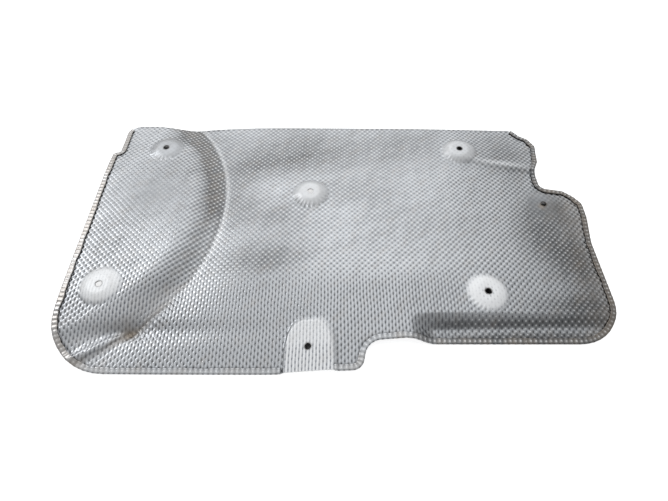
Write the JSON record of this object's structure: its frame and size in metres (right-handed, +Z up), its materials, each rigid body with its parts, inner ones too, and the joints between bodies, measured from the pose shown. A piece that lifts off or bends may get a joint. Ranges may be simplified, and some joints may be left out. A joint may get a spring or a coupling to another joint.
{
  "type": "exhaust heat shield",
  "caption": "Pressed exhaust heat shield in embossed aluminium sheet, with a folded edge, raised mounting bosses and a long curved crease.",
  "frame": {"origin": "centre of the bounding box in plan, at the lowest point of the sheet", "axes": "+X right along the long side, +Y towards the straight back edge, +Z up from the rest plane"},
  "size_m": [0.579, 0.3436, 0.0199],
  "materials": {
    "aluminium": "satin"
  },
  "bodies": {
    "root": {"shield_panel": "aluminium"}
  },
  "joints": []
}
